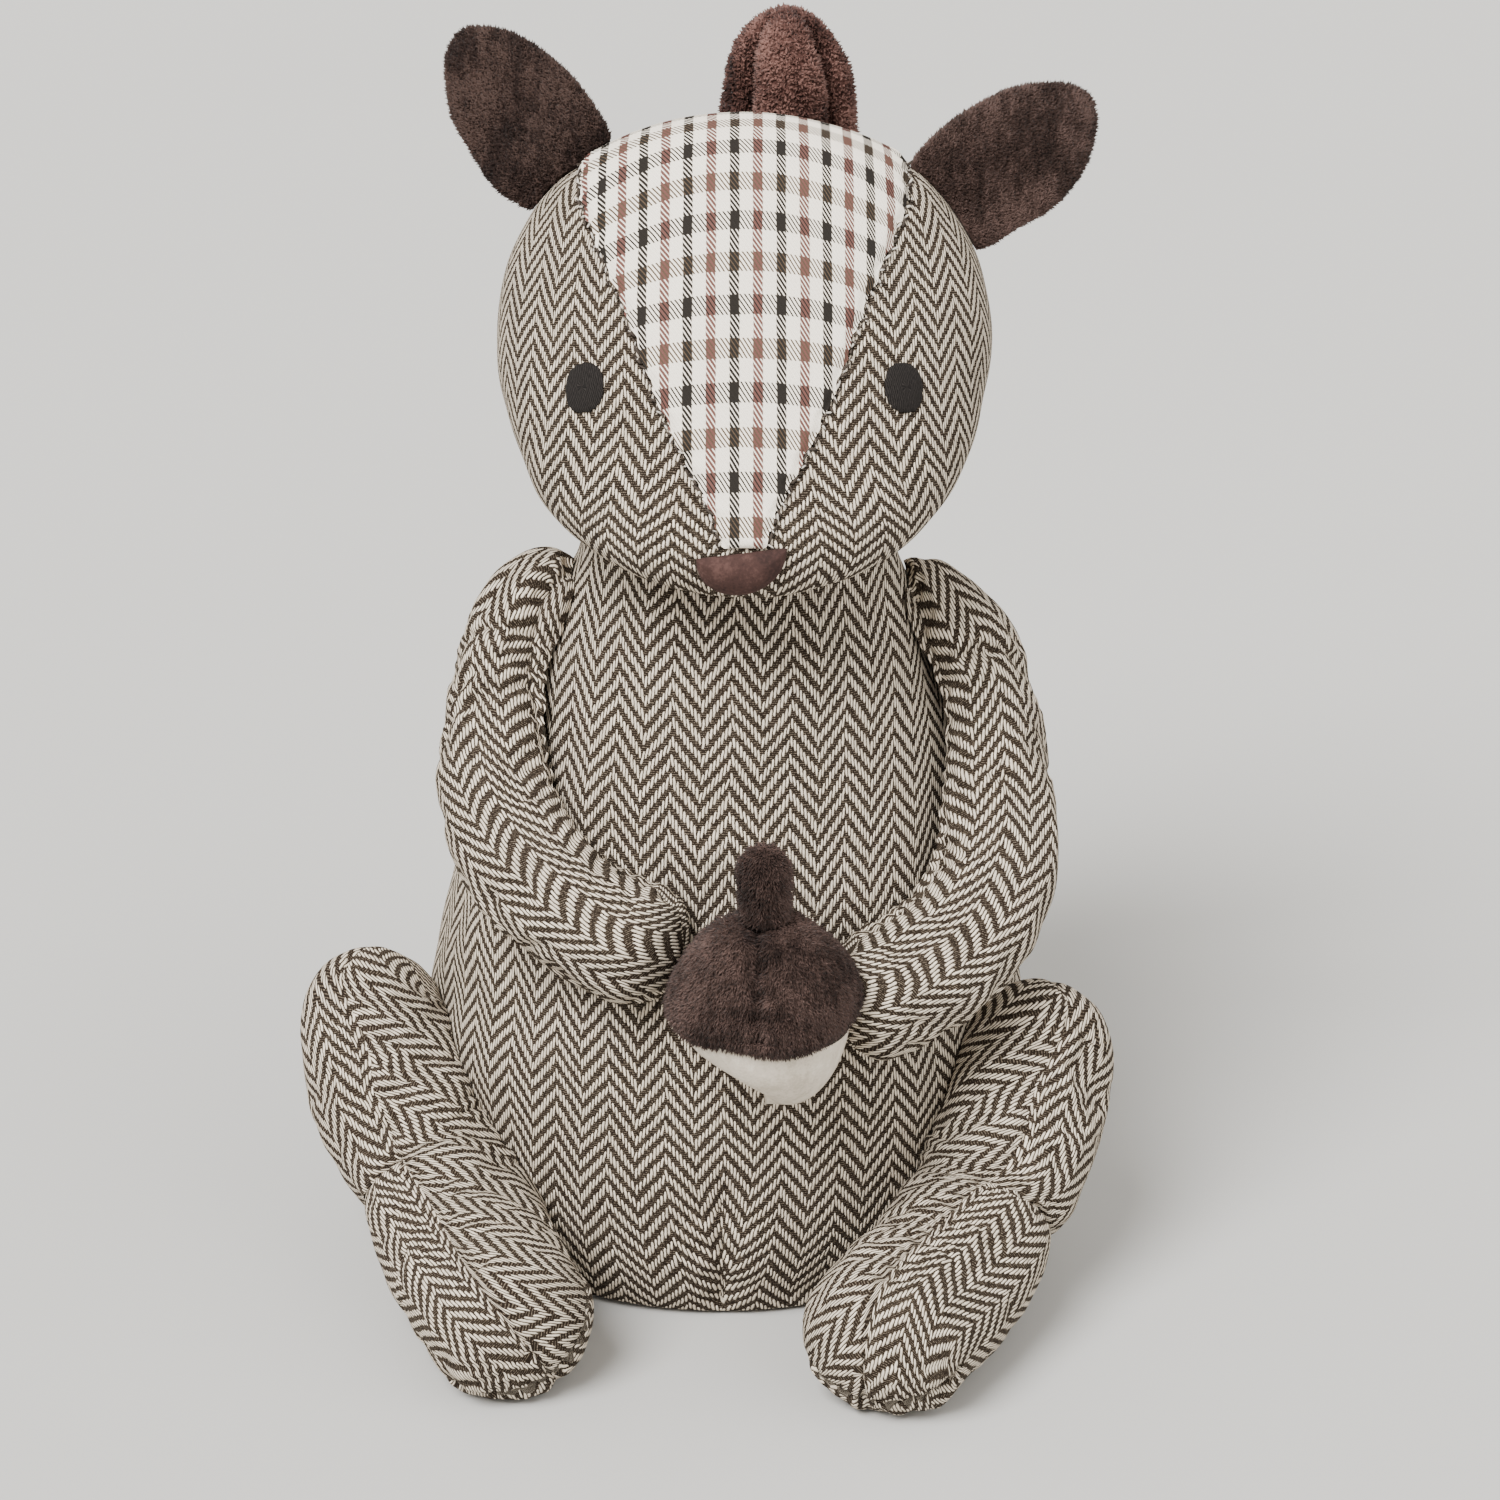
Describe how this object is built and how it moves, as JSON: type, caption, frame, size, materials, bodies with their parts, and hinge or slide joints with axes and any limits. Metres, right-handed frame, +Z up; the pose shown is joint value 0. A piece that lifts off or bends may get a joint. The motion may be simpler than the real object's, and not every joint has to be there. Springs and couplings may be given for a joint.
{
  "type": "weighted fabric door stop",
  "caption": "Stuffed door stop in the form of a sitting squirrel holding an acorn, with a sand bag in its base that keeps it in place against a door.",
  "frame": {"origin": "middle of the flat base, on the floor", "axes": "+Z up, the face and feet point towards -Y, and +X is to the right of someone who looks at the face"},
  "size_m": [0.1789, 0.2064, 0.2741],
  "materials": {
    "tweed": "herringbone tweed of cream and grey-brown yarn",
    "check_cotton": "cream cotton twill with a black and rose-brown check",
    "dark_plush": "short-pile plush, dark brown",
    "tail_plush": "short-pile plush, rose brown",
    "nose_velvet": "velvet, rose brown",
    "eye_thread": "satin stitch in black thread",
    "nut_suede": "cream faux suede",
    "sand_bag": "dry sand sewn up in a calico bag"
  },
  "bodies": {
    "root": {"body": "tweed", "base_panel": "tweed", "weight_bag": "sand_bag", "head": "tweed", "forehead_patch": "check_cotton", "nose": "nose_velvet", "left_eye": "eye_thread", "right_eye": "eye_thread", "left_ear": "dark_plush", "right_ear": "dark_plush", "left_arm": "tweed", "right_arm": "tweed", "left_leg": "tweed", "right_leg": "tweed", "tail": "tail_plush", "acorn_cap": "dark_plush", "acorn_stem": "dark_plush", "acorn_nut": "nut_suede"}
  },
  "joints": []
}
